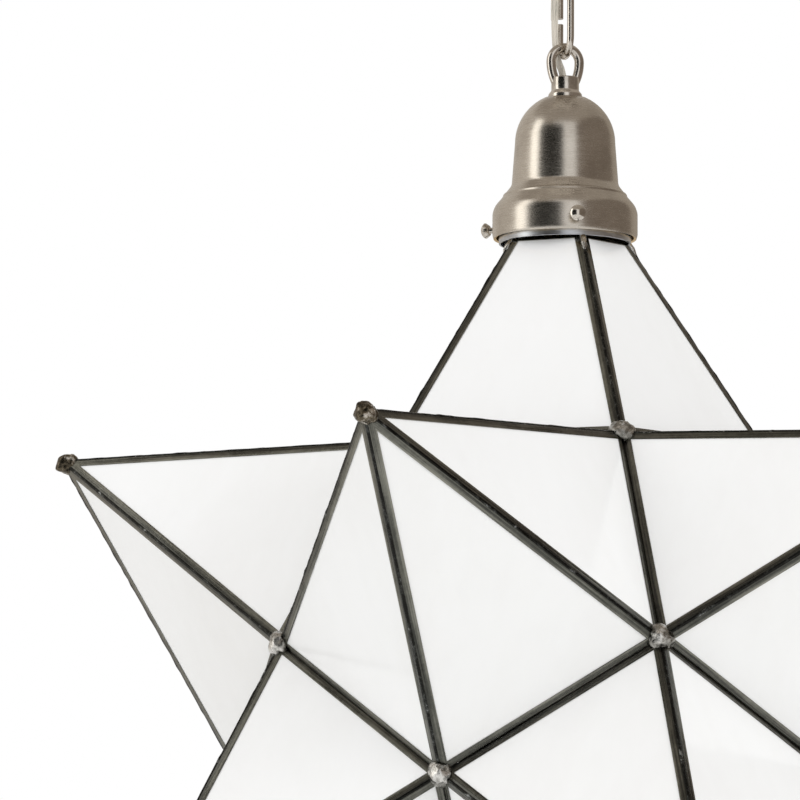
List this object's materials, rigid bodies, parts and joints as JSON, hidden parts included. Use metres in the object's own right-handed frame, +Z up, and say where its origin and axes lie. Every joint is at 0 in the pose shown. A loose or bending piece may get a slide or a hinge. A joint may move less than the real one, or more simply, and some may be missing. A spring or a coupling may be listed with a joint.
{
  "type": "moravian star pendant",
  "caption": "Ceiling pendant: a pointed star of opal glass panels in dark channel frames, held by thumbscrews in a bell holder on a short chain.",
  "frame": {"origin": "on the hanging axis, in the ceiling plane: the middle of the crossbar's two slots, on its top face", "axes": "+Z up along the hanging axis, +X along the crossbar, -Y towards the side the picture shows"},
  "size_m": [0.4412, 0.4253, 0.7099],
  "materials": {
    "opal_glass": "gloss",
    "came": "dark patina",
    "solder": "rough, part patinated",
    "collar_metal": "tinned",
    "brushed_nickel": "brushed",
    "screw_steel": "satin",
    "polished_nickel": "polished",
    "plated_steel": "zinc plated",
    "green_steel": "dyed plating",
    "porcelain": "glazed",
    "socket_brass": "bright",
    "bulb_aluminium": "bright",
    "bulb_lead": "dull",
    "bulb_glass": "frosted",
    "cord": "satin"
  },
  "bodies": {
    "ceiling_fitting": {"crossbar": "plated_steel", "hanger_pipe": "plated_steel", "hanger_locknut": "plated_steel", "earth_screw": "green_steel", "canopy_loop": "polished_nickel", "cord_1": "cord"},
    "canopy_collar": {"canopy_collar": "brushed_nickel"},
    "canopy": {"canopy": "brushed_nickel"},
    "chain_link_1": {"chain_link_1": "polished_nickel", "cord_2": "cord"},
    "chain_link_2": {"chain_link_2": "polished_nickel", "cord_3": "cord"},
    "chain_link_3": {"chain_link_3": "polished_nickel", "cord_4": "cord"},
    "chain_link_4": {"chain_link_4": "polished_nickel", "cord_5": "cord"},
    "pendant": {"holder_loop": "polished_nickel", "holder_pipe": "plated_steel", "holder_locknut": "plated_steel", "bell_holder": "brushed_nickel", "socket_body": "porcelain", "socket_shell": "socket_brass", "socket_contact": "socket_brass", "terminal_screws": "socket_brass", "shade_collar": "collar_metal", "collar_solder": "solder", "tip_solder": "solder", "corner_solder": "solder", "top_point_glass": "opal_glass", "upper_point_1_glass": "opal_glass", "upper_point_2_glass": "opal_glass", "upper_point_3_glass": "opal_glass", "upper_point_4_glass": "opal_glass", "upper_point_5_glass": "opal_glass", "lower_point_1_glass": "opal_glass", "lower_point_2_glass": "opal_glass", "lower_point_3_glass": "opal_glass", "lower_point_4_glass": "opal_glass", "lower_point_5_glass": "opal_glass", "bottom_point_glass": "opal_glass", "top_point_came": "came", "upper_point_1_came": "came", "upper_point_2_came": "came", "upper_point_3_came": "came", "upper_point_4_came": "came", "upper_point_5_came": "came", "lower_point_1_came": "came", "lower_point_2_came": "came", "lower_point_3_came": "came", "lower_point_4_came": "came", "lower_point_5_came": "came", "bottom_point_came": "came"},
    "thumbscrew_1": {"thumbscrew_1": "screw_steel"},
    "thumbscrew_2": {"thumbscrew_2": "screw_steel"},
    "thumbscrew_3": {"thumbscrew_3": "screw_steel"},
    "bulb": {"bulb_glass": "bulb_glass", "bulb_base": "bulb_aluminium", "bulb_contact": "bulb_lead"}
  },
  "joints": [
    {"name": "link_1_swing", "type": "hinge", "parent": "ceiling_fitting", "child": "chain_link_1", "pos_m": [0, 0, -0.05125], "axis": [-0.2924, 0.9563, 0], "range_deg": [-25, 25], "deforming": ["cord_1"]},
    {"name": "link_2_swing", "type": "hinge", "parent": "chain_link_1", "child": "chain_link_2", "pos_m": [0, 0, -0.081], "axis": [0.9563, 0.2924, 0], "range_deg": [-25, 25], "deforming": ["cord_2"]},
    {"name": "link_3_swing", "type": "hinge", "parent": "chain_link_2", "child": "chain_link_3", "pos_m": [0, 0, -0.1113], "axis": [-0.2924, 0.9563, 0], "range_deg": [-25, 25], "deforming": ["cord_3"]},
    {"name": "link_4_swing", "type": "hinge", "parent": "chain_link_3", "child": "chain_link_4", "pos_m": [0, 0, -0.1416], "axis": [0.9563, 0.2924, 0], "range_deg": [-25, 25], "deforming": ["cord_4"]},
    {"name": "pendant_swing", "type": "hinge", "parent": "chain_link_4", "child": "pendant", "pos_m": [0, 0, -0.1719], "axis": [-0.2924, 0.9563, 0], "range_deg": [-20, 20], "deforming": ["cord_5"]},
    {"name": "canopy_collar_slide", "type": "slide", "parent": "ceiling_fitting", "child": "canopy_collar", "axis": [0, 0, -1], "range_m": [0, 0.009]},
    {"name": "canopy_slide", "type": "slide", "parent": "ceiling_fitting", "child": "canopy", "axis": [0, 0, -1], "range_m": [0, 0.009]},
    {"name": "thumbscrew_1_slide", "type": "slide", "parent": "pendant", "child": "thumbscrew_1", "axis": [0.1478, -0.989, 0], "range_m": [0, 0.0035]},
    {"name": "thumbscrew_2_slide", "type": "slide", "parent": "pendant", "child": "thumbscrew_2", "axis": [0.7826, 0.6225, 0], "range_m": [0, 0.0035]},
    {"name": "thumbscrew_3_slide", "type": "slide", "parent": "pendant", "child": "thumbscrew_3", "axis": [-0.9304, 0.3665, 0], "range_m": [0, 0.0035]},
    {"name": "bulb_slide", "type": "slide", "parent": "pendant", "child": "bulb", "axis": [0, 0, -1], "range_m": [0, 0.026]}
  ],
  "couplings": [
    {"joint": "canopy_slide", "follows": "canopy_collar_slide", "ratio": 1}
  ]
}
